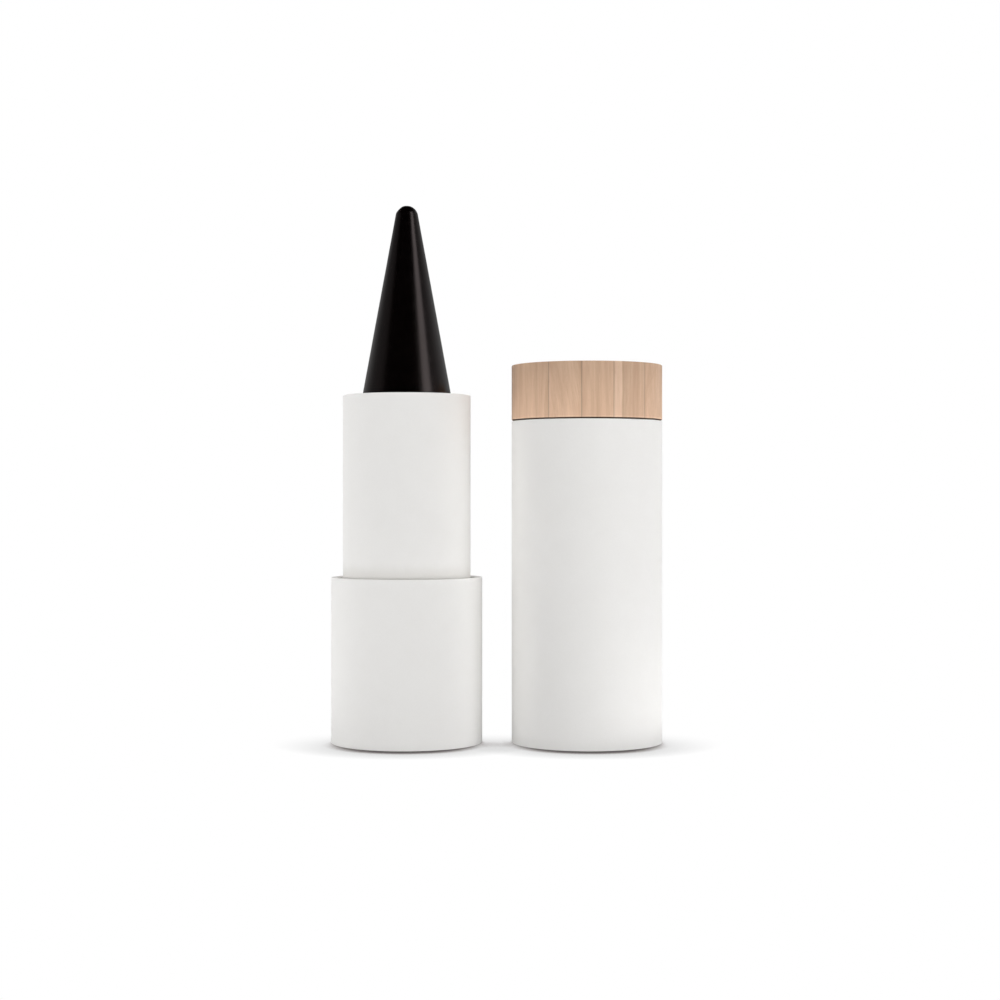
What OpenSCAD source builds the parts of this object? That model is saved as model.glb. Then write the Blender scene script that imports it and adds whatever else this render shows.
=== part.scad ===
// Twist-up kohl stick in a board-and-wood case, with its cap standing beside it.
// Turning the sleeve drives a helical groove past two lugs on the cup, and a slotted
// guide keeps the cup from turning, so the kohl rises and sinks.

/* [Kohl and its cup] */
// Diameter of the kohl where the cup holds it
stick_d = 12.1; // [11:0.1:13]
// Height of the kohl above the rim of the cup
stick_h = 26.1; // [22:0.1:30]
// Radius of the rounded tip
tip_r = 1.5; // [0.8:0.02:2]
// Depth of the small flat that the mould leaves on one shoulder of the tip
tip_flat = 0.12; // [0.05:0.01:0.25]
// Wall of the cup
cup_wall = 0.4; // [0.3:0.05:0.6]
// Height of the cup
cup_h = 11; // [9:0.5:13]
// Thickness of the floor of the cup
cup_floor = 1; // [0.6:0.1:1.4]
// Diameter of the casting hole in the floor of the cup
cup_hole_d = 3; // [2:0.5:5]
// Number of ribs that hold the kohl in the cup
cup_ribs = 6; // [4:1:8]
// Depth that each rib reaches into the kohl
cup_rib_depth = 0.35; // [0.2:0.05:0.6]
// Width of each rib
cup_rib_w = 0.5; // [0.4:0.1:0.8]
// Height of each rib above the floor of the cup
cup_rib_h = 6; // [4:0.5:7.5]
// Diameter of the two lugs on the cup
lug_d = 1.7; // [1.4:0.1:2]
// Height of the middle of the lugs above the underside of the cup
lug_rise = 1.5; // [1.2:0.1:2.5]

/* [Twist mechanism] */
// Travel of the kohl from wound down to fully out
travel = 26; // [22:0.5:27]
// Turns of the sleeve over that travel
turns = 1.25; // [1:0.25:1.5]
// Wall of the slotted guide
guide_wall = 0.5; // [0.45:0.05:0.7]
// Height of the foot of the guide
foot_h = 2.8; // [2:0.1:3.5]
// Bore through the foot of the guide
foot_bore_d = 12; // [10:0.5:12.4]
// Height of the lip that holds the spiral down on the guide
lip_h = 0.4; // [0.3:0.05:0.6]
// Reach of that lip beyond the barrel of the guide
lip_reach = 0.4; // [0.25:0.05:0.6]
// Depth of the slits that let the lip spring inwards at assembly
slit_h = 5; // [3:0.5:8]
// Width of those slits
slit_w = 0.6; // [0.4:0.1:1]
// Number of those slits
slits = 4; // [2:2:4]
// Wall of the spiral
spiral_wall = 0.75; // [0.7:0.05:1]
// Depth of the two helical grooves in the spiral
groove_depth = 0.5; // [0.35:0.05:0.55]
// Thickness of the rubber brake ring
brake_d = 0.75; // [0.6:0.05:0.85]
// Depth of the groove that the brake ring sits in
brake_seat = 0.3; // [0.2:0.05:0.35]

/* [Board tubes] */
// Thickness of the paper wrapped round the tubes
wrap_t = 0.15; // [0.1:0.05:0.25]
// Board wall of the sleeve
sleeve_board = 0.45; // [0.35:0.05:0.8]
// Board wall of the base
base_board = 0.65; // [0.5:0.05:1]
// Board wall of the cap
cap_board = 0.65; // [0.5:0.05:1]
// Height of the base
base_h = 21.8; // [21:0.1:26]
// Height of the sleeve above the base
sleeve_show = 24; // [23.5:0.1:28]
// Height of the cap without its wooden top
cap_h = 42.4; // [38:0.1:50]
// Thickness of the board disc that closes the foot of the base
disc_t = 1.2; // [0.8:0.1:1.5]

/* [Plastic liners] */
// Wall of the insert that lines the base
insert_wall = 0.65; // [0.5:0.05:0.9]
// Floor of that insert
insert_floor = 1; // [0.6:0.1:1.2]
// Depth of the insert below the rim of the base
insert_sink = 0.5; // [0.3:0.1:1]
// Number of keys that stop the guide from turning in the insert
keys = 4; // [2:1:6]
// Width of each key
key_w = 1.2; // [0.8:0.1:2]
// Depth that each key reaches into the wall of the insert
key_depth = 0.3; // [0.15:0.05:0.35]
// Wall of the liner inside the cap
liner_wall = 0.55; // [0.4:0.05:0.8]
// Top of the liner, which the wooden spigot rests on
liner_top = 0.8; // [0.5:0.1:1.5]
// Depth of the liner inside the mouth of the cap
liner_sink = 0.4; // [0.2:0.1:1]
// Number of ribs in the liner that grip the sleeve
grip_ribs = 6; // [4:1:12]
// Height of the grip ribs
grip_rib_h = 12; // [6:1:20]
// Width of each grip rib
grip_rib_w = 0.8; // [0.5:0.1:1.2]

/* [Wooden top] */
// Height of the wooden top
wood_h = 7.2; // [5:0.1:10]
// Distance that the wood stands proud of the cap all round
wood_proud = 0; // [0:0.01:0.2]
// Rounding of the edges of the wood
wood_round = 0.2; // [0.1:0.05:0.6]
// Length of the spigot glued into the cap
spigot_h = 3; // [2:0.5:5]
// Shadow gap left between the wood and the cap
seam = 0.15; // [0.05:0.05:0.4]
// Width of the glued strips of the board
strip_w = 4.15; // [3.6:0.05:4.6]
// Distance of the middle glue line from the axis of the cap
strip_shift = -1.38; // [-1.8:0.02:1.8]
// Turn of the board about the upright
board_turn = 1.7; // [-10:0.1:10]

/* [Clearances] */
// Gap between the cup and the guide
cup_gap = 0.1; // [0.05:0.01:0.2]
// Gap between a lug and the sides of its slot
slot_gap = 0.1; // [0.05:0.01:0.2]
// Gap between a lug and the walls of its groove
groove_gap = 0.15; // [0.1:0.01:0.25]
// Running gap of the spiral on the guide and the brake ring
turn_gap = 0.05; // [0.03:0.01:0.1]
// End play of the spiral between the foot and the lip
end_gap = 0.1; // [0.05:0.01:0.2]
// Running gap of the sleeve in the base
base_gap = 0.1; // [0.05:0.01:0.15]
// Gap of the sleeve in the cap
cap_gap = 0.15; // [0.1:0.01:0.25]
// Gap that the grip ribs leave round the sleeve
grip_gap = 0.05; // [0.02:0.01:0.08]
// Depth of the guide below the mouth of the sleeve
guide_sink = 0.25; // [0.15:0.05:0.6]
// Depth of the rim of the cup below the mouth when the kohl is fully out
cup_sink = 0.95; // [0.8:0.05:1.5]
// Clear distance between the base and the cap standing beside it
stand_gap = 3.88; // [1:0.02:20]

/* [Hidden] */
$fn = 96;

// Radii, from the kohl outwards
stick_r = stick_d / 2;
cup_r = stick_r + cup_wall;
guide_bore_r = cup_r + cup_gap;
guide_r = guide_bore_r + guide_wall;
spiral_bore_r = guide_r + turn_gap;
spiral_r = spiral_bore_r + spiral_wall;
sleeve_board_r = spiral_r + sleeve_board;
sleeve_r = sleeve_board_r + wrap_t;
insert_bore_r = sleeve_r + base_gap;
insert_r = insert_bore_r + insert_wall;
base_board_r = insert_r + base_board;
base_r = base_board_r + wrap_t;
liner_bore_r = sleeve_r + cap_gap;
liner_r = liner_bore_r + liner_wall;
cap_board_r = liner_r + cap_board;
cap_r = cap_board_r + wrap_t;
wood_r = cap_r + wood_proud;

// Heights of the base and the sleeve
floor_z = disc_t + insert_floor;
foot_z = floor_z + foot_h;
turn_z = foot_z + end_gap;
mouth_z = base_h + sleeve_show;
guide_top_z = mouth_z - guide_sink;
spiral_top_z = guide_top_z - lip_h - end_gap;

// Heights of the cup with the kohl fully out
cup_top_z = mouth_z - cup_sink;
cup_z = cup_top_z - cup_h;
lug_z = cup_z + lug_rise;
lug_low_z = lug_z - travel;

// The foot of the guide stays this far below the cup when the kohl is wound down
foot_clear = 0.25;
foot_bore_top_z = cup_z - travel - foot_clear;

// Lugs, slots and grooves
lug_r = lug_d / 2;
lug_tip_r = spiral_bore_r + groove_depth - cup_gap;
slot_r = lug_r + slot_gap;
lead = travel / turns;
sweep = 360 * turns;
groove_r = spiral_bore_r + groove_depth;
groove_half_w = lug_r + groove_gap;
groove_angle = atan(lead / (2 * PI * spiral_bore_r));
groove_half_h = groove_half_w / cos(groove_angle);
groove_run_on = 2;
groove_end = asin(groove_half_w / spiral_bore_r) + groove_run_on;
groove_step = 9;

// Brake ring
brake_r = brake_d / 2;
brake_seat_r = guide_r - brake_seat;
brake_mid_r = brake_seat_r + brake_r;
brake_z = turn_z + brake_d;
brake_seat_gap = 0.05;
brake_seat_h = brake_d + brake_seat_gap;
brake_bore_r = brake_mid_r + brake_r + turn_gap;
brake_bore_top_z = brake_z + brake_d;

// Cap
cap_x = base_r + stand_gap + wood_r;
wood_z = cap_h + seam;
spigot_z = wood_z - spigot_h;
strips = 5;
middle_strip = 3;

// Rounding of the folded paper at a rim, lead-ins at the mouths of the bores, and the overlap of cuts
rim_share = 0.8;
rim_round = rim_share * wrap_t;
lead_in = 0.3;
rib_slope = 1;
cut = 1;

// Half angle of the cone that runs from the rim of the cup to touch the round tip
tip_mid_h = stick_h - tip_r;
cone_angle = atan(stick_r / tip_mid_h) - asin(tip_r / norm([stick_r, tip_mid_h]));
tip_flat_angle = 45;

// Profile of a tube wall, drawn for rotate_extrude
module wall(inner, outer, low, high) {
    translate([inner, low]) square([outer - inner, high - low]);
}

module tube(inner, outer, low, high) {
    rotate_extrude() wall(inner, outer, low, high);
}

// Profile cut from the mouth of a bore to lead a tube in; side is 1 for a mouth that faces up, -1 for down
module lead_in_profile(bore, mouth_z, side) {
    translate([0, mouth_z]) scale([1, side]) polygon([
        [bore - cut, -lead_in - cut],
        [bore, -lead_in],
        [bore + lead_in, 0],
        [bore + lead_in, cut],
        [bore - cut, cut]]);
}

// A wall whose outer corner at the top is rounded
module rounded_wall(inner, outer, low, high, round) {
    wall(inner, outer, low, high - round);
    wall(inner, outer - round, low, high);
    translate([outer - round, high - round]) circle(round);
}

// Paper round a tube, folded in over its top rim
module folded_wrap(bore, board_r, outer, low, high) {
    rotate_extrude() difference() {
        rounded_wall(bore, outer, low, high, rim_round);
        translate([bore - cut, low - cut]) square([board_r - bore + cut, high - wrap_t - low + cut]);
    }
}

// Base

module base_tube() {
    color("ghostwhite") tube(insert_r, base_board_r, 0, base_h - wrap_t);
}

module base_wrap() {
    color("white") folded_wrap(insert_r, base_board_r, base_r, 0, base_h);
}

module base_disc() {
    color("lightgray") cylinder(h = disc_t, r = insert_r);
}

// Keys between the guide and the insert; the keyways run up to the mouth, so that the guide can go in
module foot_keys(height) {
    for (i = [0 : keys - 1])
        rotate([0, 0, (i + 0.5) * 360 / keys]) translate([insert_bore_r - cut, -key_w / 2, floor_z])
            cube([cut + key_depth, key_w, height]);
}

module base_insert() {
    color("whitesmoke") difference() {
        rotate_extrude() difference() {
            wall(0, insert_r, disc_t, base_h - insert_sink);
            wall(0, insert_bore_r, floor_z, base_h);
            lead_in_profile(insert_bore_r, base_h - insert_sink, 1);
        }
        foot_keys(base_h);
    }
}

// The slot runs straight up both sides of the guide and is round at both ends
module slot_cutter() {
    for (z = [lug_low_z, lug_z])
        translate([-guide_r - cut, 0, z]) rotate([0, 90, 0]) cylinder(h = 2 * (guide_r + cut), r = slot_r);
    translate([-guide_r - cut, -slot_r, lug_low_z]) cube([2 * (guide_r + cut), 2 * slot_r, travel]);
}

module guide_tube() {
    color("gainsboro") {
        foot_keys(foot_h);
        slotted_guide();
    }
}

module slotted_guide() {
    difference() {
        rotate_extrude() difference() {
            union() {
                wall(0, insert_bore_r, floor_z, foot_z);
                wall(0, guide_r, floor_z, guide_top_z);
                wall(0, guide_r + lip_reach, guide_top_z - lip_h, guide_top_z);
            }
            wall(0, foot_bore_d / 2, floor_z - cut, foot_bore_top_z + cut);
            wall(0, guide_bore_r, foot_bore_top_z, guide_top_z + cut);
            wall(brake_seat_r, guide_r + cut, brake_z - brake_seat_h / 2, brake_z + brake_seat_h / 2);
        }
        slot_cutter();
        for (i = [0 : slits - 1])
            rotate([0, 0, (i + 0.5) * 360 / slits])
                translate([guide_bore_r - cut, -slit_w / 2, guide_top_z - slit_h])
                    cube([guide_wall + lip_reach + 2 * cut, slit_w, slit_h + cut]);
    }
}

module brake_ring() {
    color("dimgray") translate([0, 0, brake_z])
        rotate_extrude() translate([brake_mid_r, 0]) circle(brake_r);
}

// Sleeve

function groove_ring(angle) = let (z = lug_z + lead * angle / 360) [
    for (corner = [[spiral_bore_r - cut / 2, -groove_half_h], [groove_r, -groove_half_h],
                   [groove_r, groove_half_h], [spiral_bore_r - cut / 2, groove_half_h]])
        [corner[0] * cos(angle), corner[0] * sin(angle), z + corner[1]]];

// One helical groove, from where the lug sits wound down to where it sits fully out
module helical_groove() {
    low = -sweep - groove_end;
    steps = ceil((groove_end - low) / groove_step);
    last = 4 * steps;
    points = [for (i = [0 : steps]) each groove_ring(low + i * (groove_end - low) / steps)];
    sides = [for (i = [0 : steps - 1], j = [0 : 3])
        let (a = 4 * i + j, b = 4 * i + (j + 1) % 4) [a, b, b + 4, a + 4]];
    polyhedron(points, concat([[3, 2, 1, 0], [last, last + 1, last + 2, last + 3]], sides));
}

// The straight channel through which the lug enters the groove at assembly
module entry_channel() {
    rotate([0, 0, -sweep]) translate([spiral_bore_r - cut, -groove_half_w, turn_z - cut])
        cube([groove_depth + cut, 2 * groove_half_w, lug_low_z - turn_z + cut]);
}

module spiral() {
    color("gainsboro") difference() {
        tube(spiral_bore_r, spiral_r, turn_z, spiral_top_z);
        translate([0, 0, turn_z - cut]) cylinder(h = brake_bore_top_z - turn_z + cut, r = brake_bore_r);
        for (side = [0, 180]) rotate([0, 0, side]) {
            helical_groove();
            entry_channel();
        }
    }
}

module sleeve_tube() {
    color("ghostwhite") tube(spiral_r, sleeve_board_r, turn_z, mouth_z - wrap_t);
}

module sleeve_wrap() {
    color("white") folded_wrap(spiral_r, sleeve_board_r, sleeve_r, turn_z, mouth_z);
}

// Cup and kohl

module cup_ribs_inside() {
    for (i = [0 : cup_ribs - 1])
        rotate([0, 0, (i + 0.5) * 360 / cup_ribs])
            translate([stick_r - cup_rib_depth, -cup_rib_w / 2, cup_z + cup_floor])
                cube([cup_rib_depth + cup_wall / 2, cup_rib_w, cup_rib_h]);
}

module cup() {
    color("gainsboro") difference() {
        union() {
            tube(stick_r, cup_r, cup_z, cup_top_z);
            translate([0, 0, cup_z]) cylinder(h = cup_floor, r = stick_r + cup_wall / 2);
            cup_ribs_inside();
            for (side = [0, 180])
                rotate([0, 0, side]) translate([cup_r - cup_wall / 2, 0, lug_z])
                    rotate([0, 90, 0]) cylinder(h = lug_tip_r - cup_r + cup_wall / 2, r = lug_r);
        }
        translate([0, 0, cup_z - cut]) cylinder(h = cup_floor + 2 * cut, r = cup_hole_d / 2);
    }
}

module kohl_cone() {
    color("#1b1817") difference() {
        translate([0, 0, cup_top_z]) union() {
            translate([0, 0, cup_floor - cup_h]) cylinder(h = cup_h - cup_floor, r = stick_r);
            translate([0, 0, -cup_h]) cylinder(h = cup_floor + cut, r = cup_hole_d / 2);
            cylinder(h = tip_mid_h + tip_r * sin(cone_angle), r1 = stick_r, r2 = tip_r * cos(cone_angle));
            translate([0, 0, tip_mid_h]) sphere(tip_r);
        }
        cup_ribs_inside();
        translate([0, 0, cup_top_z + tip_mid_h]) rotate([0, -tip_flat_angle, 0])
            translate([-tip_r, -tip_r, tip_r - tip_flat]) cube(2 * tip_r);
    }
}

// Cap

// Ribs that grip the sleeve, with a slope at the foot of each to ride up onto it
module grip_ribs_inside() {
    rib_r = sleeve_r + grip_gap;
    root_r = liner_bore_r + liner_wall / 2;
    low = liner_sink + lead_in;
    for (i = [0 : grip_ribs - 1])
        rotate([90, 0, i * 360 / grip_ribs]) linear_extrude(grip_rib_w, center = true) polygon([
            [liner_bore_r, low],
            [root_r, low],
            [root_r, low + grip_rib_h],
            [rib_r, low + grip_rib_h],
            [rib_r, low + rib_slope]]);
}

module beside() {
    translate([cap_x, 0, 0]) children();
}

module cap_tube() {
    color("ghostwhite") beside() tube(liner_r, cap_board_r, 0, cap_h - wrap_t);
}

module cap_wrap() {
    color("white") beside() folded_wrap(liner_r, cap_board_r, cap_r, 0, cap_h);
}

module cap_liner() {
    color("whitesmoke") beside() {
        rotate_extrude() difference() {
            wall(0, liner_r, liner_sink, spigot_z);
            wall(0, liner_bore_r, liner_sink - cut, spigot_z - liner_top);
            lead_in_profile(liner_bore_r, liner_sink, -1);
        }
        grip_ribs_inside();
    }
}

// Turned shape of the whole wooden top with its spigot
module turned_wood() {
    rotate_extrude() {
        wall(0, liner_r, spigot_z, wood_z + wood_round);
        wall(0, wood_r - wood_round, wood_z, wood_z + wood_h);
        wall(0, wood_r, wood_z + wood_round, wood_z + wood_h - wood_round);
        for (z = [wood_z + wood_round, wood_z + wood_h - wood_round])
            translate([wood_r - wood_round, z]) circle(wood_round);
    }
}

// Strips are counted from the left, and the outer two reach to the edge of the wood
module wood_strip(number) {
    low = (number == 1) ? -wood_r - cut : strip_shift + (number - middle_strip) * strip_w;
    high = (number == strips) ? wood_r + cut : strip_shift + (number + 1 - middle_strip) * strip_w;
    color(number % 2 == 0 ? "tan" : "burlywood") beside() intersection() {
        turned_wood();
        rotate([0, 0, board_turn]) translate([low, -wood_r - cut, spigot_z - cut])
            cube([high - low, 2 * (wood_r + cut), spigot_h + wood_h + 2 * cut]);
    }
}

base_tube();
base_wrap();
base_disc();
base_insert();
guide_tube();
brake_ring();
spiral();
sleeve_tube();
sleeve_wrap();
cup();
kohl_cone();
cap_tube();
cap_wrap();
cap_liner();
wood_strip(1);  // wood_strip_1
wood_strip(2);  // wood_strip_2
wood_strip(3);  // wood_strip_3
wood_strip(4);  // wood_strip_4
wood_strip(5);  // wood_strip_5
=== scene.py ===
"""Looks of a twist-up kohl stick and its wooden-topped cap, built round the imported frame.

The papers, the kohl and the strips of the wooden top are modelled here at full detail and
stand for the plain solids. The inner pieces keep their solids and get a finish.
Lengths are in millimetres until a mesh or a light is made, but the floor and the panels of light
are in metres.
"""
import math

import bpy
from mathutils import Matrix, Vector, noise

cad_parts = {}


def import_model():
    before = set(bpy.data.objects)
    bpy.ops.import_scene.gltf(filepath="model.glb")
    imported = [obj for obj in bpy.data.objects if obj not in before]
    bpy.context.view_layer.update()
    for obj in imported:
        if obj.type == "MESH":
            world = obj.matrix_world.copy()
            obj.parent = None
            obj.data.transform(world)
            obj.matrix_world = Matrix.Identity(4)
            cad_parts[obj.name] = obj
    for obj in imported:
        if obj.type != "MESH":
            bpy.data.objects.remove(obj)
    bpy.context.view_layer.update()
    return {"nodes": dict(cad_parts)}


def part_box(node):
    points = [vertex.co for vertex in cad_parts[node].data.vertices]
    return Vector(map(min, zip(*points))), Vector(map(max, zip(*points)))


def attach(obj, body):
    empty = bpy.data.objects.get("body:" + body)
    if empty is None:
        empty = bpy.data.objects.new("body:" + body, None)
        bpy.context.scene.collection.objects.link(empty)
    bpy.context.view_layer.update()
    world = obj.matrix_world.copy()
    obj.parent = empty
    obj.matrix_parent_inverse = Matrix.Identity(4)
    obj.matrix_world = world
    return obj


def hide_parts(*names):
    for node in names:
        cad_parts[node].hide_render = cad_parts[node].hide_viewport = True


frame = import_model()

MM = 0.001


# Sizes taken from the frame

def node_box(node):
    """Lowest and highest corner of a solid, in millimetres."""
    low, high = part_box(node)
    return low / MM, high / MM


def radius_of(node):
    """Half the extent of a round solid across Y, where no lug or strip widens it."""
    low, high = node_box(node)
    return (high.y - low.y) / 2


BASE_R = radius_of("base_wrap")
BASE_BOARD_R = radius_of("base_tube")
BASE_BORE_R = radius_of("base_insert")
BASE_TOP = node_box("base_wrap")[1].z
INSERT_TOP = node_box("base_insert")[1].z

SLEEVE_R = radius_of("sleeve_wrap")
SLEEVE_BOARD_R = radius_of("sleeve_tube")
SLEEVE_BORE_R = radius_of("spiral")
SLEEVE_LOW = node_box("sleeve_wrap")[0].z
MOUTH_Z = node_box("sleeve_wrap")[1].z
SPIRAL_TOP = node_box("spiral")[1].z

CAP_R = radius_of("cap_wrap")
CAP_BOARD_R = radius_of("cap_tube")
CAP_BORE_R = radius_of("cap_liner")
CAP_TOP = node_box("cap_wrap")[1].z
CAP_X = (node_box("cap_wrap")[0].x + node_box("cap_wrap")[1].x) / 2

WRAP_T = BASE_R - BASE_BOARD_R

KOHL_R = radius_of("kohl_cone")
KOHL_LOW = node_box("kohl_cone")[0].z
TIP_Z = node_box("kohl_cone")[1].z
CUP_TOP = node_box("cup")[1].z
# Floor of the cup, the hole in it that the kohl fills, and the round of the tip
CUP_FLOOR = 1.0
CASTING_HOLE_R = 1.5
TIP_R = 1.5
# Small flats of the tip: how far each cuts in, and its lean from the upright towards -X
TIP_FLATS = ((0.12, 45), (0.05, -3))

WOOD_R = node_box("wood_strip_3")[1].y
WOOD_TOP = node_box("wood_strip_3")[1].z
SPIGOT_LOW = node_box("wood_strip_3")[0].z
# Gap under the wood, and the round of its edges
WOOD_GAP = 0.15
WOOD_LOW = CAP_TOP + WOOD_GAP
WOOD_ROUND = 0.1
# Width of a strip, place of the low side of the middle one, and turn of the board in degrees
STRIP_W = 4.15
STRIP_SHIFT = -1.38
BOARD_TURN = 1.7
STRIPS = 5
MIDDLE_STRIP = 3


# Meshes

def finished_object(name, vertices, faces, body, replaced, material, sharp):
    """A piece that rides on a body and stands for one solid, smooth but for edges over sharp degrees."""
    mesh = bpy.data.meshes.new(name)
    mesh.from_pydata([tuple(c * MM for c in v) for v in vertices], [], faces)
    mesh.validate()
    for polygon in mesh.polygons:
        polygon.use_smooth = True
    mesh.set_sharp_from_angle(angle=math.radians(sharp))
    mesh.materials.append(material)
    piece = bpy.data.objects.new(name, mesh)
    bpy.context.scene.collection.objects.link(piece)
    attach(piece, body)
    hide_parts(replaced)


def arc(centre, radius, start, end, steps):
    """Points on an arc in the (radius, height) plane, angles in degrees."""
    angles = [math.radians(start + (end - start) * i / steps) for i in range(steps + 1)]
    return [(centre[0] + radius * math.cos(a), centre[1] + radius * math.sin(a)) for a in angles]


def lathe(outline, angles, axis_x, closed, place):
    """Vertices and faces of an outline of (radius, height) points, turned about an upright axis.

    The outline runs up the outside and inwards over the top. A closed outline makes a ring,
    and an open one starts and ends on the axis. place(radius, height, angle) gives the final
    radius and height of a point.
    """
    vertices = []
    columns = []
    poles = {} if closed else {0: None, len(outline) - 1: None}
    for angle in angles:
        column = []
        for j, (r, z) in enumerate(outline):
            if j in poles and poles[j] is not None:
                column.append(poles[j])
                continue
            r, z = place(r, z, angle)
            vertices.append((axis_x + r * math.cos(angle), r * math.sin(angle), z))
            column.append(len(vertices) - 1)
            if j in poles:
                poles[j] = column[-1]
        columns.append(column)
    faces = []
    count = len(outline)
    for i, column in enumerate(columns):
        following = columns[(i + 1) % len(columns)]
        for j in range(count if closed else count - 1):
            k = (j + 1) % count
            corners = [column[j], following[j], following[k], column[k]]
            faces.append([c for n, c in enumerate(corners) if c not in corners[:n]])
    return vertices, faces


def turns(count):
    """Evenly spaced angles of one full turn."""
    return [2 * math.pi * i / count for i in range(count)]


def ease(value):
    """Smooth step from 0 to 1."""
    t = min(max(value, 0.0), 1.0)
    return t * t * (3 - 2 * t)


# Node graphs

WHITE = (1, 1, 1, 1)


def add(tree, kind, inputs=None, **settings):
    """A shader node with its settings, and its inputs set or linked."""
    node = tree.nodes.new(kind)
    for key, value in settings.items():
        setattr(node, key, value)
    for key, value in (inputs or {}).items():
        if isinstance(value, bpy.types.NodeSocket):
            tree.links.new(value, node.inputs[key])
        else:
            node.inputs[key].default_value = value
    return node


def principled(name, **values):
    """A new Principled material, with its node tree and shader."""
    material = bpy.data.materials.new(name)
    material.use_nodes = True
    tree = material.node_tree
    shader = tree.nodes["Principled BSDF"]
    for key, value in values.items():
        shader.inputs[key.replace("_", " ")].default_value = value
    return material, tree, shader


def millimetres(tree, axis_x=0.0):
    """Object coordinates in millimetres, measured from an upright axis."""
    point = add(tree, "ShaderNodeTexCoord").outputs["Object"]
    axis = (axis_x * MM, 0, 0)
    point = add(tree, "ShaderNodeVectorMath", {0: point, 1: axis}, operation="SUBTRACT")
    return add(tree, "ShaderNodeVectorMath", {0: point.outputs[0], "Scale": 1 / MM},
               operation="SCALE").outputs[0]


def stretched(tree, point, scale):
    """Coordinates scaled by their own factor along each axis."""
    return add(tree, "ShaderNodeVectorMath", {0: point, 1: scale}, operation="MULTIPLY").outputs[0]


def noise_value(tree, point, scale, detail=2.0, roughness=0.5, distortion=0.0):
    """Noise from 0 to 1, with scale in cycles for each unit of the coordinates."""
    return add(tree, "ShaderNodeTexNoise", {"Vector": point, "Scale": scale, "Detail": detail,
               "Roughness": roughness, "Distortion": distortion}).outputs["Fac"]


def maths(tree, operation, first, second=0.0):
    """Result of one operation on numbers or sockets."""
    return add(tree, "ShaderNodeMath", {0: first, 1: second}, operation=operation).outputs[0]


def mapped(tree, value, from_low, from_high, to_low, to_high, smooth=False):
    """A value moved from one range to another, and held within the second."""
    kind = "SMOOTHSTEP" if smooth else "LINEAR"
    return add(tree, "ShaderNodeMapRange", {"Value": value, "From Min": from_low, "From Max": from_high,
               "To Min": to_low, "To Max": to_high}, interpolation_type=kind).outputs["Result"]


def mixed(tree, factor, first, second):
    """Mix of two colours."""
    node = add(tree, "ShaderNodeMix", data_type="RGBA")
    for key, value in (("Factor_Float", factor), ("A_Color", first), ("B_Color", second)):
        socket = next(s for s in node.inputs if s.identifier == key)
        if isinstance(value, bpy.types.NodeSocket):
            tree.links.new(value, socket)
        else:
            socket.default_value = value
    return next(s for s in node.outputs if s.identifier == "Result_Color")


def bumped(tree, shader, height, depth_mm, strength):
    """Gives a shader the relief of a height from 0 to 1, depth_mm deep."""
    inputs = {"Height": height, "Distance": depth_mm * MM, "Strength": strength}
    bump = add(tree, "ShaderNodeBump", inputs)
    tree.links.new(bump.outputs["Normal"], shader.inputs["Normal"])


# Materials

# Two tones of the cloudy paper, and its fibres
PAPER_TONES = ((0.824, 0.814, 0.799, 1), (0.836, 0.827, 0.813, 1))
PAPER_FIBRE = (0.772, 0.764, 0.741, 1)
# Painted shade on the paper just above the rim it comes out of: height of the band, how unevenly it ends,
# how dark it gets, and its colour
RIM_SHADE_H = 2.6
RIM_SHADE_UNEVEN = 0.6
RIM_SHADE_DEPTH = 0.37
RIM_SHADE_COLOUR = (0.46, 0.435, 0.395, 1)
# Board: its two tones, the glue between its plies, and how many plies a millimetre holds
BOARD_TONES = ((0.74, 0.73, 0.70, 1), (0.60, 0.585, 0.55, 1))
BOARD_GLUE = (0.50, 0.47, 0.42, 1)
PLIES_PER_MM = 4.6
# Rubber and its dust, then the two tones of the kohl and the tint of its gloss
RUBBER_BLACK = (0.018, 0.018, 0.018, 1)
RUBBER_DUST = (0.05, 0.049, 0.047, 1)
KOHL_TONES = ((0.0006, 0.0003, 0.0003, 1), (0.0016, 0.0009, 0.0009, 1))
KOHL_GLOSS = (1.0, 0.84, 0.83, 1.0)
# Wood: its two tones, late wood, fibres, flecks, the glue between strips, and end grain
WOOD_TONES = ((0.700, 0.490, 0.347, 1), (0.594, 0.394, 0.268, 1))
LATE_WOOD = (0.545, 0.345, 0.230, 1)
WOOD_FIBRE = (0.520, 0.330, 0.220, 1)
WOOD_FLECK = (0.42, 0.25, 0.16, 1)
WOOD_GLUE = (0.230, 0.170, 0.130, 1)
END_GRAIN = (0.46, 0.285, 0.185, 1)


def paper_material(name, shaded_above=None):
    """Soft matt white paper: faint cloudiness, and fibres felted at random. Where it comes out of
    another piece, just above the given height, a band of shade from that piece's rim is painted on."""
    material, tree, shader = principled(name, Roughness=0.62, Specular_IOR_Level=0.15)
    point = millimetres(tree)
    cloud = noise_value(tree, point, 0.35, detail=3)
    fibre = noise_value(tree, point, 5.0, detail=4, roughness=0.65, distortion=0.6)
    tone = mixed(tree, mapped(tree, cloud, 0.3, 0.7, 0, 1), *PAPER_TONES)
    tone = mixed(tree, mapped(tree, fibre, 0.35, 0.75, 0, 0.25), tone, PAPER_FIBRE)
    if shaded_above is not None:
        # Painted shade: a darker band just above the base's rim, as if the rim shaded it
        height = add(tree, "ShaderNodeSeparateXYZ", {0: point}).outputs["Z"]
        height = maths(tree, "ADD", height, maths(tree, "MULTIPLY", cloud, RIM_SHADE_UNEVEN))
        rim_shade = mapped(tree, height, shaded_above, shaded_above + RIM_SHADE_H, RIM_SHADE_DEPTH, 0, smooth=True)
        tone = mixed(tree, rim_shade, tone, RIM_SHADE_COLOUR)
    tree.links.new(tone, shader.inputs["Base Color"])
    tree.links.new(mapped(tree, fibre, 0.3, 0.7, 0.56, 0.68), shader.inputs["Roughness"])
    bumped(tree, shader, fibre, 0.012, 0.6)
    return material


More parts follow.
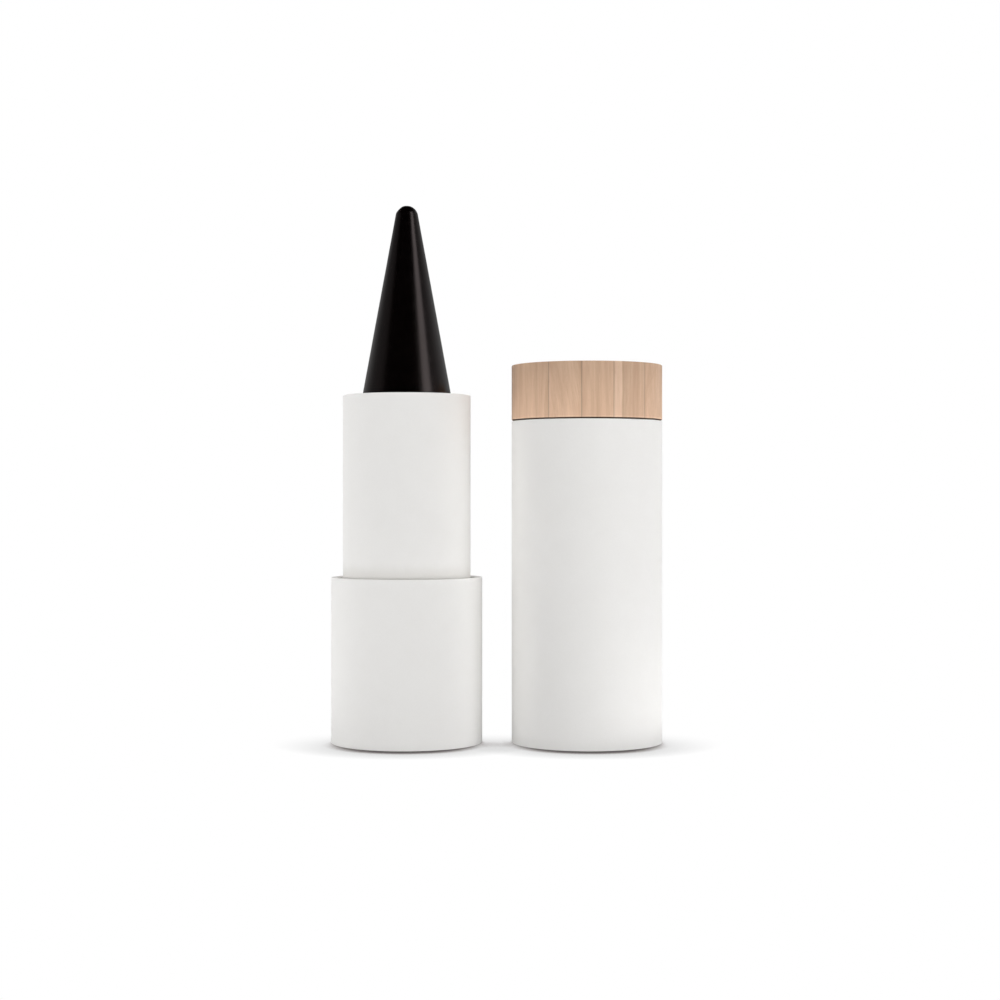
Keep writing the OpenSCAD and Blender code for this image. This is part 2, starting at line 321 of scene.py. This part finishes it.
def board_material(name, axis_x):
    """Wound board: pale plies with thin glue lines on the cut ends, and grey fibres."""
    material, tree, shader = principled(name, Roughness=0.8, Specular_IOR_Level=0.25)
    point = millimetres(tree, axis_x)
    flat = stretched(tree, point, (1, 1, 0))
    radius = add(tree, "ShaderNodeVectorMath", {0: flat}, operation="LENGTH").outputs["Value"]
    ply = maths(tree, "MULTIPLY", maths(tree, "FRACT", radius), PLIES_PER_MM)
    ply = maths(tree, "PINGPONG", ply, 0.5)
    line = mapped(tree, ply, 0.0, 0.12, 0.5, 0.0, smooth=True)
    fibre = noise_value(tree, point, 6.0, detail=4, roughness=0.7, distortion=0.8)
    tone = mixed(tree, mapped(tree, fibre, 0.35, 0.7, 0, 1), *BOARD_TONES)
    tone = mixed(tree, line, tone, BOARD_GLUE)
    tree.links.new(tone, shader.inputs["Base Color"])
    bumped(tree, shader, fibre, 0.03, 0.7)
    return material


def plastic_material(name, colour, roughness, glow):
    """Moulded plastic: a fine spark-eroded grain and a little light passing through."""
    material, tree, shader = principled(name, Subsurface_Weight=glow, Subsurface_Scale=0.001,
                                        Roughness=roughness)
    point = millimetres(tree)
    cloud = noise_value(tree, point, 0.5, detail=2)
    grain = noise_value(tree, point, 14.0, detail=2, roughness=0.6)
    darker = tuple(c * 0.95 for c in colour) + (1,)
    tone = mixed(tree, mapped(tree, cloud, 0.3, 0.7, 0, 1), colour + (1,), darker)
    tree.links.new(tone, shader.inputs["Base Color"])
    dull = mapped(tree, grain, 0.3, 0.7, roughness - 0.05, roughness + 0.06)
    tree.links.new(dull, shader.inputs["Roughness"])
    bumped(tree, shader, grain, 0.006, 0.5)
    return material


def rubber_material():
    """Dull black rubber with a trace of dust."""
    material, tree, shader = principled("rubber", Roughness=0.75, Specular_IOR_Level=0.3)
    dust = noise_value(tree, millimetres(tree), 3.0, detail=4, roughness=0.7)
    tone = mixed(tree, mapped(tree, dust, 0.4, 0.8, 0, 1), RUBBER_BLACK, RUBBER_DUST)
    tree.links.new(tone, shader.inputs["Base Color"])
    bumped(tree, shader, dust, 0.01, 0.6)
    return material


def kohl_material():
    """Cast kohl: deep black wax with a satin skin, slightly uneven where it cooled."""
    material, tree, shader = principled("kohl", Specular_IOR_Level=0.5, Specular_Tint=KOHL_GLOSS)
    point = millimetres(tree)
    bloom = noise_value(tree, point, 0.9, detail=4, roughness=0.6)
    grain = noise_value(tree, point, 9.0, detail=3, roughness=0.65)
    tone = mixed(tree, mapped(tree, bloom, 0.35, 0.7, 0, 1), *KOHL_TONES)
    tree.links.new(tone, shader.inputs["Base Color"])
    blend = maths(tree, "ADD", maths(tree, "MULTIPLY", bloom, 0.5), maths(tree, "MULTIPLY", grain, 0.5))
    tree.links.new(mapped(tree, blend, 0.35, 0.65, 0.20, 0.27), shader.inputs["Roughness"])
    bumped(tree, shader, grain, 0.004, 0.5)
    return material


# Figure of each strip: tone of the whole strip, darkness of the glue line, place of the pith from
# the axis, spacing of the year rings, shift of its noise, tone at its top edge under painted shade,
# lean of its grain in degrees, and veins as (place across the strip from 0 to 1, lightness) stops
STRIP_FIGURES = {
    1: {"tone": 1.08, "glue": 0.34, "pith": (-38, 30), "rings": 1.3, "seed": 3.0, "top": 0.80, "lean": 2,
        "veins": [(0.0, 0.92), (0.14, 1.0), (0.50, 1.0), (0.58, 1.07), (0.66, 0.92), (0.80, 1.05),
                  (0.90, 0.98), (1.0, 0.96)]},
    2: {"tone": 1.105, "glue": 0.46, "pith": (24, 46), "rings": 2.1, "seed": 11.0, "top": 0.79, "lean": -8,
        "veins": [(0.0, 1.0), (0.45, 1.0), (0.60, 1.05), (0.88, 0.97), (1.0, 0.88)]},
    3: {"tone": 1.02, "glue": 0.40, "pith": (-30, 52), "rings": 1.8, "seed": 23.0, "top": 0.87, "lean": -2,
        "veins": [(0.0, 1.0), (0.22, 1.04), (0.42, 0.97), (0.50, 0.93), (0.62, 1.02), (1.0, 1.0)]},
    4: {"tone": 0.95, "glue": 0.24, "pith": (44, 20), "rings": 2.4, "seed": 37.0, "top": 0.90, "lean": 1,
        "veins": [(0.0, 1.06), (0.05, 1.21), (0.23, 1.21), (0.28, 0.89), (0.55, 0.97), (1.0, 1.0)]},
    5: {"tone": 0.99, "glue": 0.30, "pith": (-52, 18), "rings": 1.5, "seed": 53.0, "top": 0.90, "lean": 9,
        "veins": [(0.0, 0.97), (0.12, 1.05), (0.35, 0.98), (0.50, 1.05), (1.0, 1.0)]},
}


def vein_colour(lightness):
    """The factor that a vein of this lightness puts on the wood, halved to fit a colour ramp.
    Pale veins are less red."""
    pale = lightness - 1
    return (lightness / 2, lightness / 2 * (1 + 0.25 * pale), lightness / 2 * (1 + 0.5 * pale), 1)


def painted_light_by_height(tree, point, top):
    """Painted light and shade by height: the wood lighter towards the foot and darker towards the top,
    a painted highlight along its bottom edge, and painted shade in the gap under it."""
    height = add(tree, "ShaderNodeSeparateXYZ", {0: point}).outputs["Z"]
    tone = mapped(tree, height, WOOD_LOW, WOOD_TOP, 1.12, top)
    foot_highlight = mapped(tree, height, WOOD_LOW + 0.10, WOOD_LOW + 0.32, 1.10, 1.0, smooth=True)
    gap_shade = mapped(tree, height, WOOD_LOW + 0.01, WOOD_LOW + 0.05, 0.18, 1.0, smooth=True)
    return maths(tree, "MULTIPLY", maths(tree, "MULTIPLY", tone, foot_highlight), gap_shade)


def wood_material(number, low, high):
    """One strip of pale close-grained wood, its fibres upright, as a solid figure."""
    figure = STRIP_FIGURES[number]
    material, tree, shader = principled(f"wood_{number}", Specular_IOR_Level=0.4)
    point = millimetres(tree, CAP_X)
    point = add(tree, "ShaderNodeVectorRotate", {"Vector": point, "Angle": -math.radians(BOARD_TURN)},
                rotation_type="Z_AXIS").outputs[0]
    middle = (0, 0, (WOOD_LOW + WOOD_TOP) / 2)
    grain = {"Vector": point, "Center": middle, "Angle": -math.radians(figure["lean"])}
    grain = add(tree, "ShaderNodeVectorRotate", grain, rotation_type="Y_AXIS").outputs[0]
    seed = (figure["seed"], 0, 0)
    seeded = add(tree, "ShaderNodeVectorMath", {0: grain, 1: seed}, operation="ADD").outputs[0]
    drift = noise_value(tree, stretched(tree, seeded, (0.5, 0.5, 0.12)), 1.0, detail=2)
    drift = mapped(tree, drift, 0.3, 0.7, -0.35, 0.35)

    across = add(tree, "ShaderNodeSeparateXYZ", {0: point})
    place = maths(tree, "ADD", across.outputs["X"], maths(tree, "MULTIPLY", drift, 0.6))
    vein = add(tree, "ShaderNodeValToRGB", {"Fac": mapped(tree, place, low, high, 0, 1)})
    stops = vein.color_ramp.elements
    for stop, (position, lightness) in zip(stops, (figure["veins"][0], figure["veins"][-1])):
        stop.position = position
        stop.color = vein_colour(lightness)
    for position, lightness in figure["veins"][1:-1]:
        stops.new(position).color = vein_colour(lightness)
    vein = add(tree, "ShaderNodeVectorMath", {0: vein.outputs["Color"], "Scale": 2 * figure["tone"]},
               operation="SCALE").outputs[0]

    pith = {0: stretched(tree, grain, (1, 1, 0)), 1: figure["pith"] + (0,)}
    pith = add(tree, "ShaderNodeVectorMath", pith, operation="DISTANCE").outputs["Value"]
    ring = maths(tree, "DIVIDE", maths(tree, "ADD", pith, drift), figure["rings"])
    ring = maths(tree, "FRACT", ring)
    late = maths(tree, "MULTIPLY", mapped(tree, ring, 0.25, 0.92, 0, 1, smooth=True),
                 mapped(tree, ring, 0.93, 1.0, 1, 0, smooth=True))

    streak = noise_value(tree, stretched(tree, seeded, (1.9, 1.9, 0.07)), 1.0, detail=3, roughness=0.6)
    fibre = noise_value(tree, stretched(tree, seeded, (9.0, 9.0, 0.35)), 1.0, detail=3, roughness=0.6)
    fleck = noise_value(tree, stretched(tree, seeded, (15.0, 15.0, 1.6)), 1.0, detail=1)
    fleck = mapped(tree, fleck, 0.66, 0.74, 0, 1, smooth=True)

    colour = mixed(tree, mapped(tree, streak, 0.3, 0.7, 0, 1), *WOOD_TONES)
    colour = mixed(tree, maths(tree, "MULTIPLY", late, 0.30), colour, LATE_WOOD)
    colour = mixed(tree, mapped(tree, fibre, 0.35, 0.70, 0, 0.42), colour, WOOD_FIBRE)
    colour = mixed(tree, maths(tree, "MULTIPLY", fleck, 0.30), colour, WOOD_FLECK)
    colour = add(tree, "ShaderNodeVectorMath", {0: colour, 1: vein}, operation="MULTIPLY").outputs[0]

    edge = maths(tree, "MINIMUM", maths(tree, "SUBTRACT", across.outputs["X"], low),
                 maths(tree, "SUBTRACT", high, across.outputs["X"]))
    glue = mapped(tree, edge, 0.03, 0.12, figure["glue"], 0.0, smooth=True)
    colour = mixed(tree, glue, colour, WOOD_GLUE)
    # Painted light and shade by height are multiplied into the colour of the strip
    colour = {0: colour, "Scale": painted_light_by_height(tree, point, figure["top"])}
    colour = add(tree, "ShaderNodeVectorMath", colour, operation="SCALE").outputs[0]

    normal = add(tree, "ShaderNodeTexCoord").outputs["Normal"]
    upright = maths(tree, "ABSOLUTE", add(tree, "ShaderNodeSeparateXYZ", {0: normal}).outputs["Z"])
    end = mapped(tree, upright, 0.6, 0.95, 0.0, 0.30, smooth=True)
    colour = mixed(tree, end, colour, END_GRAIN)
    tree.links.new(colour, shader.inputs["Base Color"])
    tree.links.new(mapped(tree, fibre, 0.3, 0.7, 0.48, 0.62), shader.inputs["Roughness"])
    relief = maths(tree, "SUBTRACT", 1.0, maths(tree, "MULTIPLY", fibre, 0.5))
    relief = maths(tree, "SUBTRACT", relief, fleck)
    bumped(tree, shader, relief, 0.014, 0.8)
    return material


# Papers wrapped round the tubes

# Rounds of the paper at the rim and at the foot
RIM_ROUND = 0.12
FOOT_ROUND = 0.03
# Thickness of the tuck inside the mouth, the round over it, and its clearance from the piece below
TUCK_T = 0.07
TUCK_ROUND = 0.06
TUCK_GAP = 0.02
# Lap of the paper: width, step at its cut edge, run-out of the ramp, and width of the cut edge
LAP_W = 4.0
LAP_STEP = 0.015
LAP_RAMP = 1.0
EDGE_W = 0.02
# Height and upright pitch of the unevenness of the glued paper
RIPPLE = 0.004
RIPPLE_PITCH = 9
# Rows of points up the wall, and points round it
WALL_ROWS = 28
ROUND = 240


def lap_angles(radius, seam):
    """Angles of a full turn, with extra ones at the edges of the lap."""
    cut = seam - LAP_W / 2 / radius
    ramp = seam + LAP_W / 2 / radius
    extra = [cut - EDGE_W / radius, cut, ramp, seam + (LAP_W / 2 + LAP_RAMP) / radius]
    return sorted(set(turns(ROUND) + [a % (2 * math.pi) for a in extra]))


def lapped(radius, seam, low, high):
    """Radius of a paper glued to itself along an upright lap: a cut edge, then a soft ramp."""
    def place(r, z, angle):
        if r < radius - LAP_STEP * 1.5 or not low < z < high:
            return r, z
        along = ((angle - seam + math.pi) % (2 * math.pi) - math.pi) * radius
        if along < -LAP_W / 2:
            raised = ease((along + LAP_W / 2 + EDGE_W) / EDGE_W)
        else:
            raised = 1 - ease((along - LAP_W / 2) / LAP_RAMP)
        around = Vector((math.cos(angle) * 2, math.sin(angle) * 2, z / RIPPLE_PITCH))
        return r - LAP_STEP * (1 - raised) - RIPPLE * abs(noise.noise(around)), z
    return place


def paper(name, body, axis_x, radii, low, high, tuck_low, seam):
    """Paper round a tube, folded over its rim; radii are the outside, the board and the bore. It is
    tucked into the mouth down to tuck_low, or ends at the bore where that is None."""
    outer, board, bore = radii
    inner = bore - TUCK_T if tuck_low is not None else bore
    rise = high - RIM_ROUND - low - FOOT_ROUND
    outline = [(outer - FOOT_ROUND, low)]
    outline += [(outer, low + FOOT_ROUND + rise * i / WALL_ROWS) for i in range(WALL_ROWS)]
    outline += arc((outer - RIM_ROUND, high - RIM_ROUND), RIM_ROUND, 0, 90, 8)
    outline += arc((inner + TUCK_ROUND, high - TUCK_ROUND), TUCK_ROUND, 90, 180, 4)
    if tuck_low is not None:
        outline += [(inner, tuck_low), (bore, tuck_low)]
    outline += [(bore, high - WRAP_T), (board, high - WRAP_T), (board, low)]
    place = lapped(outer, seam, low, high)
    vertices, faces = lathe(outline, lap_angles(outer, seam), axis_x, True, place)
    material = paper_material(name, BASE_TOP if body == "sleeve" else None)
    replaced = name.replace("_paper", "_wrap")
    finished_object(name, vertices, faces, body, replaced, material, sharp=40)


# Where the middle of each lap lies round the back, in radians
CAP_SEAM = math.radians(90)
BASE_SEAM = CAP_SEAM + 0.25
SLEEVE_SEAM = CAP_SEAM - 0.3
paper("base_paper", "base", 0, (BASE_R, BASE_BOARD_R, BASE_BORE_R), 0, BASE_TOP,
      INSERT_TOP + TUCK_GAP, BASE_SEAM)
paper("sleeve_paper", "sleeve", 0, (SLEEVE_R, SLEEVE_BOARD_R, SLEEVE_BORE_R), SLEEVE_LOW, MOUTH_Z,
      SPIRAL_TOP + TUCK_GAP, SLEEVE_SEAM)
paper("cap_paper", "cap", CAP_X, (CAP_R, CAP_BOARD_R, CAP_BORE_R), 0, CAP_TOP, None, CAP_SEAM)


# Kohl

# Rows of points up the cone and over the tip, and points round them
CONE_ROWS = 110
TIP_ROWS = 24
KOHL_ROUND = 192
# Height and upright pitch of the unevenness of the casting
CAST_UNEVEN = 0.012
CAST_PITCH = 5


def kohl_outline():
    """Outline of the kohl, from the bottom of its root to the tip."""
    tip_mid = TIP_Z - TIP_R
    rise = tip_mid - CUP_TOP
    half_angle = math.atan(KOHL_R / rise) - math.asin(TIP_R / math.hypot(KOHL_R, rise))
    touch = (TIP_R * math.cos(half_angle), tip_mid + TIP_R * math.sin(half_angle))
    root_low = KOHL_LOW + CUP_FLOOR
    outline = [(0, KOHL_LOW), (CASTING_HOLE_R, KOHL_LOW), (CASTING_HOLE_R, root_low), (KOHL_R, root_low)]
    for i in range(CONE_ROWS):
        t = i / CONE_ROWS
        outline.append((KOHL_R + (touch[0] - KOHL_R) * t, CUP_TOP + (touch[1] - CUP_TOP) * t))
    outline += arc((0, tip_mid), TIP_R, math.degrees(half_angle), 90, TIP_ROWS)
    return outline


def cast(r, z, angle):
    """The slight unevenness of cast wax, which fades out at the cup and the tip."""
    body = ease((z - CUP_TOP) / 2) * ease((TIP_Z - z) / 4)
    around = Vector((math.cos(angle) * 1.3, math.sin(angle) * 1.3, z / CAST_PITCH))
    return r - CAST_UNEVEN * body * abs(noise.noise(around)), z


def kohl():
    """The stick of kohl, with the flats of its tip cut."""
    vertices, faces = lathe(kohl_outline(), turns(KOHL_ROUND), 0, False, cast)
    centre = Vector((0, 0, TIP_Z - TIP_R))
    for depth, lean in TIP_FLATS:
        normal = Vector((-math.sin(math.radians(lean)), 0, math.cos(math.radians(lean))))
        above = [(Vector(v) - centre).dot(normal) - TIP_R + depth for v in vertices]
        vertices = [tuple(Vector(v) - normal * max(a, 0)) for v, a in zip(vertices, above)]
    finished_object("kohl_stick", vertices, faces, "carrier", "kohl_cone", kohl_material(),
                    sharp=50)


kohl()


# Wooden top

# Groove at each glue line: depth, width, and inset on the top face
GLUE_GROOVE = 0.03
GLUE_GROOVE_W = 0.12
GLUE_INSET = 0.05
# Degrees between the points of a round stretch, and rows up the side
ARC_STEP = 1.5
SIDE_ROWS = 20


def strip_limits(number):
    """Sides of a strip across the board; the outer two reach to the edge of the wood."""
    low = -WOOD_R if number == 1 else STRIP_SHIFT + (number - MIDDLE_STRIP) * STRIP_W
    high = WOOD_R if number == STRIPS else STRIP_SHIFT + (number + 1 - MIDDLE_STRIP) * STRIP_W
    return low, high


def strip_arcs(number, low, high, radius):
    """Start and end of each round stretch of a strip, as angles from the front, anticlockwise."""
    if number == 1:
        return [(math.pi - math.asin(high / radius), 2 * math.pi + math.asin(high / radius))]
    if number == STRIPS:
        return [(math.asin(low / radius), math.pi - math.asin(low / radius))]
    return [(math.asin(low / radius), math.asin(high / radius)),
            (math.pi - math.asin(high / radius), math.pi - math.asin(low / radius))]


def strip_ring(number, z, radius, inset, steps):
    """Points round a strip at one height."""
    low, high = strip_limits(number)
    low += 0 if number == 1 else inset
    high -= 0 if number == STRIPS else inset
    ring = []
    for (start, end), count in zip(strip_arcs(number, low, high, radius), steps):
        for i in range(count + 1):
            angle = start + (end - start) * i / count
            near = min(radius * math.sin(angle) - low if number > 1 else radius,
                       high - radius * math.sin(angle) if number < STRIPS else radius)
            r = radius - GLUE_GROOVE * (1 - ease(near / GLUE_GROOVE_W))
            x, y = r * math.sin(angle), -r * math.cos(angle)
            turn = math.radians(BOARD_TURN)
            ring.append((CAP_X + x * math.cos(turn) - y * math.sin(turn),
                         x * math.sin(turn) + y * math.cos(turn), z))
    return ring


def wood_levels():
    """Height, radius and inset of each ring of points, from the spigot to the top face."""
    mid_low, mid_high = WOOD_LOW + WOOD_ROUND, WOOD_TOP - WOOD_ROUND
    levels = [(SPIGOT_LOW, CAP_BORE_R), (WOOD_LOW, CAP_BORE_R)]
    levels += [(z, r) for r, z in arc((WOOD_R - WOOD_ROUND, mid_low), WOOD_ROUND, -90, 0, 6)]
    rise = (mid_high - mid_low) / SIDE_ROWS
    levels += [(mid_low + rise * i, WOOD_R) for i in range(1, SIDE_ROWS)]
    levels += [(z, r) for r, z in arc((WOOD_R - WOOD_ROUND, mid_high), WOOD_ROUND, 0, 90, 6)]
    z, r = levels[-1]
    groove = [(z - GLUE_GROOVE, r, 0), (z, r - GLUE_INSET, GLUE_INSET)]
    return [(z, r, 0) for z, r in levels[:-1]] + groove


def wood_strip(number):
    """One strip of the wooden top, with its share of the spigot."""
    low, high = strip_limits(number)
    steps = [max(8, round(math.degrees(end - start) / ARC_STEP))
             for start, end in strip_arcs(number, low, high, WOOD_R)]
    rings = [strip_ring(number, z, r, inset, steps) for z, r, inset in wood_levels()]
    count = len(rings[0])
    vertices = [point for ring in rings for point in ring]
    faces = [list(reversed(range(count))), list(range(len(vertices) - count, len(vertices)))]
    for level in range(len(rings) - 1):
        for i in range(count):
            a = level * count + i
            b = level * count + (i + 1) % count
            faces.append([a, b, b + count, a + count])
    finished_object(f"wood_{number}", vertices, faces, "cap", f"wood_strip_{number}",
                    wood_material(number, low, high), sharp=40)


for strip in range(1, STRIPS + 1):
    wood_strip(strip)


# Finish of the inner pieces, which keep their solids

NATURAL = plastic_material("natural_plastic", colour=(0.74, 0.74, 0.70), roughness=0.36, glow=0.25)
WHITE_PLASTIC = plastic_material("white_plastic", colour=(0.80, 0.80, 0.79), roughness=0.42, glow=0.1)
BOARD = board_material("board", 0)
CAP_BOARD = board_material("cap_board", CAP_X)
RUBBER = rubber_material()
FINISHES = {
    "base_tube": BOARD, "base_disc": BOARD, "sleeve_tube": BOARD, "cap_tube": CAP_BOARD,
    "base_insert": WHITE_PLASTIC, "cap_liner": WHITE_PLASTIC,
    "guide_tube": NATURAL, "spiral": NATURAL, "cup": NATURAL,
    "brake_ring": RUBBER,
}
for node_name, finish in FINISHES.items():
    frame["nodes"][node_name].data.materials.clear()
    frame["nodes"][node_name].data.materials.append(finish)


# Camera, at the height, distance and field of view of the photograph

CAMERA_X = 12.34
CAMERA_Y = -253.13
CAMERA_Z = 31.99
# Focal length as a multiple of the sensor's width
LENS_PER_WIDTH = 1.911
SENSOR = 36.0
camera_data = bpy.data.cameras.new("camera")
camera_data.sensor_width = SENSOR
camera_data.lens = LENS_PER_WIDTH * SENSOR
camera_data.clip_start = 0.001
camera = bpy.data.objects.new("camera", camera_data)
camera.location = (CAMERA_X * MM, CAMERA_Y * MM, CAMERA_Z * MM)
camera.rotation_euler = (math.radians(90), 0, 0)
bpy.context.scene.collection.objects.link(camera)
bpy.context.scene.camera = camera


# Floor

# The shade at a point of the floor is what it meets looking backwards, so that it is deepest in front
# of the feet. The wide shade reaches further than the close one. Reach is in metres, and dark is the
# brightness that is left where the shade is deepest.
SHADE_DIRECTION = {"Y": 0.97, "Z": 0.25}
WIDE_REACH = 0.008
WIDE_DARK = 0.30
CLOSE_REACH = 0.005
CLOSE_DARK = 0.20
CLOSE_TINT = (1.0, 0.90, 0.88, 1)
# Grey of the floor for the light that it throws back at the object, near it and far from it
GREY_NEAR = 0.37
GREY_FAR = 0.52


def floor_material():
    """White floor: the camera sees it as plain white, darkened where the object shades it closely."""
    material = bpy.data.materials.new("floor")
    material.use_nodes = True
    material.cycles.emission_sampling = "NONE"
    tree = material.node_tree
    tree.nodes.clear()
    backwards = add(tree, "ShaderNodeCombineXYZ", SHADE_DIRECTION).outputs[0]
    wide = add(tree, "ShaderNodeAmbientOcclusion", {"Distance": WIDE_REACH, "Normal": backwards},
               samples=8).outputs["AO"]
    close = add(tree, "ShaderNodeAmbientOcclusion", {"Distance": CLOSE_REACH, "Normal": backwards},
                samples=32).outputs["AO"]
    close = mapped(tree, close, 0.55, 0.72, 0.0, 1.0)
    shade = maths(tree, "MULTIPLY", mapped(tree, wide, 0.0, 1.0, WIDE_DARK, 1.0),
                  mapped(tree, close, 0.0, 1.0, CLOSE_DARK, 1.0))
    tint = mixed(tree, close, CLOSE_TINT, WHITE)
    seen = add(tree, "ShaderNodeEmission", {"Color": tint, "Strength": shade})
    place = add(tree, "ShaderNodeNewGeometry").outputs["Position"]
    away = add(tree, "ShaderNodeVectorMath", {0: place}, operation="LENGTH").outputs["Value"]
    grey = mapped(tree, away, 0.03, 0.12, GREY_NEAR, GREY_FAR, smooth=True)
    plain = add(tree, "ShaderNodeBsdfDiffuse", {"Color": grey})
    look = add(tree, "ShaderNodeLightPath")
    mix = add(tree, "ShaderNodeMixShader", {0: look.outputs["Is Camera Ray"], 1: plain.outputs[0],
                                            2: seen.outputs[0]})
    add(tree, "ShaderNodeOutputMaterial", {"Surface": mix.outputs[0]})
    return material


# Half a side of the floor, in metres
FLOOR_HALF = 3.0
floor_mesh = bpy.data.meshes.new("floor")
floor_mesh.from_pydata([(-FLOOR_HALF, -FLOOR_HALF, 0), (FLOOR_HALF, -FLOOR_HALF, 0),
                        (FLOOR_HALF, FLOOR_HALF, 0), (-FLOOR_HALF, FLOOR_HALF, 0)], [], [(0, 1, 2, 3)])
floor_mesh.materials.append(floor_material())
floor = bpy.data.objects.new("floor", floor_mesh)
bpy.context.scene.collection.objects.link(floor)


# Lights

# Point that the panels face, in metres
TARGET = Vector((0.012, 0, 0.035))


def panel(name, azimuth, elevation, distance, width, height, radiance, glossy=False):
    """A soft rectangular light, in metres; azimuth is from the front towards +X, in degrees."""
    light = bpy.data.lights.new(name, "AREA")
    light.shape = "RECTANGLE"
    light.size = width
    light.size_y = height
    light.energy = radiance * math.pi * width * height
    lamp = bpy.data.objects.new(name, light)
    a, e = math.radians(azimuth), math.radians(elevation)
    away = Vector((math.sin(a) * math.cos(e), -math.cos(a) * math.cos(e), math.sin(e)))
    lamp.location = TARGET + away * distance
    lamp.rotation_euler = away.to_track_quat("Z", "Y").to_euler()
    lamp.visible_camera = False
    lamp.visible_glossy = glossy
    bpy.context.scene.collection.objects.link(lamp)


def card(name, x, y, width, length, radiance):
    """A small white card on the floor beside the object, in millimetres, which throws light up."""
    light = bpy.data.lights.new(name, "AREA")
    light.shape = "RECTANGLE"
    light.size = width * MM
    light.size_y = length * MM
    light.energy = radiance * math.pi * light.size * light.size_y
    lamp = bpy.data.objects.new(name, light)
    lamp.location = (x * MM, y * MM, MM)
    lamp.rotation_euler = (math.pi, 0, 0)
    lamp.visible_camera = False
    lamp.visible_glossy = False
    bpy.context.scene.collection.objects.link(lamp)


TALL_PANEL = {"distance": 0.8, "width": 0.2, "height": 0.6}
LOW_STRIP = {"distance": 0.20, "width": 0.10, "height": 0.03}
panel("key", 59, 22, radiance=1.75, distance=0.6, width=0.24, height=0.60, glossy=True)
panel("fill_left", -48, 10, radiance=5.2, **TALL_PANEL)
panel("fill_front", -25, 10, radiance=1.6, **TALL_PANEL)
panel("fill_right", 48, 10, radiance=3.8, **TALL_PANEL)
panel("side_left", -90, 10, radiance=3.0, **TALL_PANEL)
panel("back_left", -150, 12, radiance=4.5, **TALL_PANEL)
panel("back_right", 150, 12, radiance=5.5, **TALL_PANEL)
panel("overhead", 0, 90, radiance=6.0, distance=0.6, width=0.3, height=0.3)
panel("low_left", -60, -9, radiance=15.5, **LOW_STRIP)
panel("low_right", 60, -9, radiance=20.5, **LOW_STRIP)
card("card_left", -30, 0, width=30, length=60, radiance=0.39)
card("card_right", 43, 0, width=16, length=30, radiance=0.61)
card("card_front", 38, -18, width=16, length=16, radiance=0.50)


# Brightness of the room that gloss finds, by side, and of the faint fill, from behind and low down
ROOM_BACK = 0.31
ROOM_LEFT = 0.17
ROOM_RIGHT = 0.16
FILL_BACK = 0.30
FILL_LOW = 0.30


def world():
    """White for the camera. Gloss finds a room that is dark in front and overhead, and brighter
    behind and at both sides. Everything else finds a faint fill, from behind and low down."""
    scene_world = bpy.data.worlds.new("studio")
    bpy.context.scene.world = scene_world
    scene_world.use_nodes = True
    tree = scene_world.node_tree
    tree.nodes.clear()
    rays = add(tree, "ShaderNodeLightPath")
    direction = add(tree, "ShaderNodeTexCoord").outputs["Generated"]
    towards = add(tree, "ShaderNodeSeparateXYZ", {0: direction})
    right, back, up = (towards.outputs[axis] for axis in ("X", "Y", "Z"))
    room = maths(tree, "MAXIMUM", mapped(tree, back, -0.3, 0.8, 0.0, ROOM_BACK, smooth=True),
                 mapped(tree, right, -0.78, -0.92, 0.0, ROOM_LEFT, smooth=True))
    room = maths(tree, "ADD", room, mapped(tree, right, 0.4, 1.0, 0.0, ROOM_RIGHT, smooth=True))
    room = maths(tree, "MULTIPLY", room, mapped(tree, up, 0.45, 0.85, 1.0, 0.0, smooth=True))
    even = maths(tree, "ADD", mapped(tree, back, -0.5, 0.8, 0.0, FILL_BACK, smooth=True),
                 mapped(tree, up, 0.0, 0.4, FILL_LOW, 0.0, smooth=True))
    fill = add(tree, "ShaderNodeBackground", {"Color": WHITE, "Strength": even})
    gloss = add(tree, "ShaderNodeBackground", {"Color": WHITE, "Strength": room})
    white = add(tree, "ShaderNodeBackground", {"Color": WHITE, "Strength": 1.0})
    inner = add(tree, "ShaderNodeMixShader", {0: rays.outputs["Is Glossy Ray"], 1: fill.outputs[0],
                                              2: gloss.outputs[0]})
    outer = add(tree, "ShaderNodeMixShader", {0: rays.outputs["Is Camera Ray"], 1: inner.outputs[0],
                                              2: white.outputs[0]})
    add(tree, "ShaderNodeOutputWorld", {"Surface": outer.outputs[0]})


world()

bpy.context.scene.view_settings.view_transform = "Standard"
